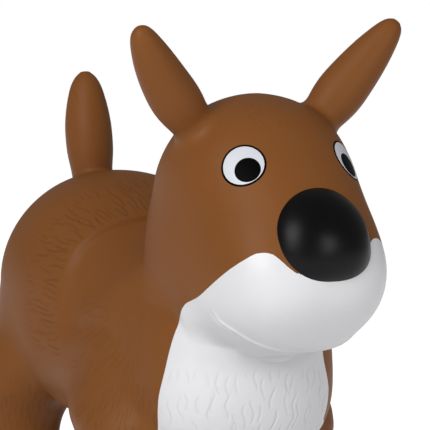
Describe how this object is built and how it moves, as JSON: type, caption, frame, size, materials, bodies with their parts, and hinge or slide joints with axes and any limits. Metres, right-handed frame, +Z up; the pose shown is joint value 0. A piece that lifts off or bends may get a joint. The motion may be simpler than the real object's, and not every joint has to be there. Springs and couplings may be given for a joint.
{
  "type": "bouncy ride-on animal",
  "caption": "Inflatable moulded-vinyl deer that a small child sits on and bounces, with ears to hold, a saddle dip, a tail and a belly valve.",
  "frame": {"origin": "on the floor, under the middle of the toy's bounding box", "axes": "+Z up, nose towards -Y, tail towards +Y, the animal's left side towards +X"},
  "size_m": [0.301, 0.574, 0.5184],
  "materials": {
    "brown_vinyl": "satin",
    "white_vinyl": "satin",
    "black_vinyl": "satin",
    "hoof_vinyl": "satin",
    "eye_white": "gloss",
    "eye_black": "gloss",
    "stopper": "satin"
  },
  "bodies": {
    "feet": {"hoof_front_left": "hoof_vinyl", "hoof_front_right": "hoof_vinyl", "hoof_rear_left": "hoof_vinyl", "hoof_rear_right": "hoof_vinyl"},
    "animal": {"trunk_skin": "brown_vinyl", "head_skin": "brown_vinyl", "muzzle_skin": "white_vinyl", "chest_skin": "white_vinyl", "nose_skin": "black_vinyl", "leg_front_left": "brown_vinyl", "leg_front_right": "brown_vinyl", "leg_rear_left": "brown_vinyl", "leg_rear_right": "brown_vinyl", "eye_white_left": "eye_white", "eye_white_right": "eye_white", "eye_rim_left": "eye_black", "eye_rim_right": "eye_black", "pupil_left": "eye_black", "pupil_right": "eye_black"},
    "left_ear": {"ear_left": "brown_vinyl"},
    "right_ear": {"ear_right": "brown_vinyl"},
    "tail_stub": {"tail": "brown_vinyl"},
    "stopper": {"valve_plug": "stopper"}
  },
  "joints": [
    {"name": "bounce", "type": "slide", "parent": "feet", "child": "animal", "axis": [0, 0, -1], "range_m": [0, 0.025], "stiffness_N_per_m": 10000, "springref_m": -0.0025},
    {"name": "ear_left_flex", "type": "hinge", "parent": "animal", "child": "left_ear", "pos_m": [0.066, -0.1255, 0.414], "axis": [-0.7835, 0, 0.6214], "range_deg": [-20, 25], "stiffness_Nm_per_rad": 0.8},
    {"name": "ear_right_flex", "type": "hinge", "parent": "animal", "child": "right_ear", "pos_m": [-0.066, -0.1255, 0.414], "axis": [-0.7835, 0, -0.6214], "range_deg": [-20, 25], "stiffness_Nm_per_rad": 0.8},
    {"name": "tail_flex", "type": "hinge", "parent": "animal", "child": "tail_stub", "pos_m": [0, 0.2135, 0.337], "axis": [1, 0, 0], "range_deg": [-25, 12], "stiffness_Nm_per_rad": 0.8},
    {"name": "valve_plug_pull", "type": "slide", "parent": "animal", "child": "stopper", "axis": [0, 0, -1], "range_m": [0, 0.03]}
  ]
}
